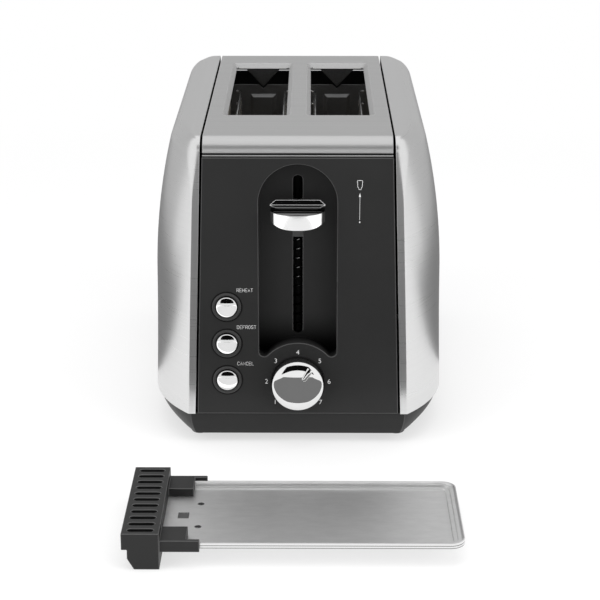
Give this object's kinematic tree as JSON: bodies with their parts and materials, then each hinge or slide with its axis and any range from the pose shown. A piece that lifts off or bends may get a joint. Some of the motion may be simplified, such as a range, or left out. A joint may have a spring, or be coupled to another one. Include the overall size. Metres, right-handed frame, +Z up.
{
  "type": "pop-up toaster",
  "caption": "Pop-up toaster with a bowed steel body, bread slots, a lever in a recessed front panel, a browning dial, push buttons and a crumb tray laid out in front.",
  "frame": {"origin": "on the floor, in the middle of the footprint of the toaster and its drawn-out crumb tray together", "axes": "+X to the user's right at the control end, +Y from the control end to the rear, +Z up"},
  "size_m": [0.1818, 0.448, 0.192],
  "materials": {
    "brushed_steel": "brushed stainless sheet",
    "satin_steel": "fine satin stainless sheet",
    "black_plastic": "fine grained black plastic",
    "panel_plastic": "satin charcoal plastic",
    "tray_plastic": "matt dark grey plastic",
    "grey_plastic": "moulded grey plastic",
    "rubber": "matt rubber",
    "zinc_steel": "zinc plated steel",
    "wire_steel": "bright drawn wire",
    "oven_steel": "aluminised sheet",
    "mica": "pressed mica board",
    "ribbon_alloy": "oxidised heating ribbon",
    "bright_chrome": "polished chrome plating",
    "board": "lacquered circuit board",
    "copper": "bare copper",
    "tray_steel": "plain mill finish steel sheet"
  },
  "bodies": {
    "chassis": {"base": "black_plastic", "base_screws": "zinc_steel", "board_screws": "zinc_steel", "button_bezels": "black_plastic", "contact_blades": "copper", "contact_block": "grey_plastic", "control_board": "board", "cord_gland": "black_plastic", "dial_ring": "black_plastic", "feet": "rubber", "front_bulkhead": "oven_steel", "front_panel": "panel_plastic", "guide_rod": "zinc_steel", "heating_ribbons": "ribbon_alloy", "left_heat_shield": "oven_steel", "left_inner_heater": "mica", "left_outer_heater": "mica", "left_side_cover": "brushed_steel", "magnet_coil": "copper", "magnet_core": "zinc_steel", "potentiometer": "grey_plastic", "rear_bulkhead": "oven_steel", "rear_panel": "panel_plastic", "return_spring": "wire_steel", "right_heat_shield": "oven_steel", "right_inner_heater": "mica", "right_outer_heater": "mica", "right_side_cover": "brushed_steel", "tact_switches": "black_plastic", "terminal_block": "grey_plastic", "top_cover": "satin_steel"},
    "lever": {"lever_knob": "bright_chrome", "lever_arm": "zinc_steel", "carriage": "grey_plastic", "armature": "zinc_steel", "lift_crossbar": "oven_steel", "left_bread_rack": "wire_steel", "right_bread_rack": "wire_steel"},
    "dial": {"browning_knob": "bright_chrome", "knob_shaft": "grey_plastic"},
    "reheat": {"reheat_button": "bright_chrome"},
    "defrost": {"defrost_button": "bright_chrome"},
    "cancel": {"cancel_button": "bright_chrome"},
    "tray": {"tray_plate": "tray_steel", "tray_handle": "tray_plastic", "tray_rivets": "zinc_steel"},
    "left_outer_bread_guide": {"left_outer_guide": "wire_steel"},
    "left_inner_bread_guide": {"left_inner_guide": "wire_steel"},
    "right_inner_bread_guide": {"right_inner_guide": "wire_steel"},
    "right_outer_bread_guide": {"right_outer_guide": "wire_steel"}
  },
  "joints": [
    {"name": "lever_slide", "type": "slide", "parent": "chassis", "child": "lever", "axis": [0, 0, 1], "range_m": [-0.072, 0.015], "stiffness_N_per_m": 150, "springref_m": 0.0088, "deforming": ["return_spring"]},
    {"name": "dial_turn", "type": "hinge", "parent": "chassis", "child": "dial", "pos_m": [0, -0.048, 0.0407], "axis": [0, 1, 0], "range_deg": [-168, 99]},
    {"name": "reheat_press", "type": "slide", "parent": "chassis", "child": "reheat", "axis": [0, 1, 0], "range_m": [0, 0.0025], "stiffness_N_per_m": 300},
    {"name": "defrost_press", "type": "slide", "parent": "chassis", "child": "defrost", "axis": [0, 1, 0], "range_m": [0, 0.0025], "stiffness_N_per_m": 300},
    {"name": "cancel_press", "type": "slide", "parent": "chassis", "child": "cancel", "axis": [0, 1, 0], "range_m": [0, 0.0025], "stiffness_N_per_m": 300},
    {"name": "left_outer_guide_swing", "type": "hinge", "parent": "chassis", "child": "left_outer_bread_guide", "pos_m": [-0.0414, 0.0875, 0.03], "axis": [0, 1, 0], "range_deg": [-1.09, 5.05]},
    {"name": "left_inner_guide_swing", "type": "hinge", "parent": "chassis", "child": "left_inner_bread_guide", "pos_m": [-0.0104, 0.0875, 0.03], "axis": [0, 1, 0], "range_deg": [-5.05, 1.09]},
    {"name": "right_inner_guide_swing", "type": "hinge", "parent": "chassis", "child": "right_inner_bread_guide", "pos_m": [0.0104, 0.0875, 0.03], "axis": [0, 1, 0], "range_deg": [-1.09, 5.05]},
    {"name": "right_outer_guide_swing", "type": "hinge", "parent": "chassis", "child": "right_outer_bread_guide", "pos_m": [0.0414, 0.0875, 0.03], "axis": [0, 1, 0], "range_deg": [-5.05, 1.09]},
    {"name": "tray_slide", "type": "slide", "parent": "chassis", "child": "tray", "axis": [-1, 0, 0], "range_m": [0, 0.161]}
  ],
  "couplings": [
    {"joint": "left_outer_guide_swing", "follows": "lever_slide", "rad_per_m": -1.212},
    {"joint": "left_inner_guide_swing", "follows": "lever_slide", "rad_per_m": 1.212},
    {"joint": "right_inner_guide_swing", "follows": "lever_slide", "rad_per_m": -1.212},
    {"joint": "right_outer_guide_swing", "follows": "lever_slide", "rad_per_m": 1.212}
  ]
}
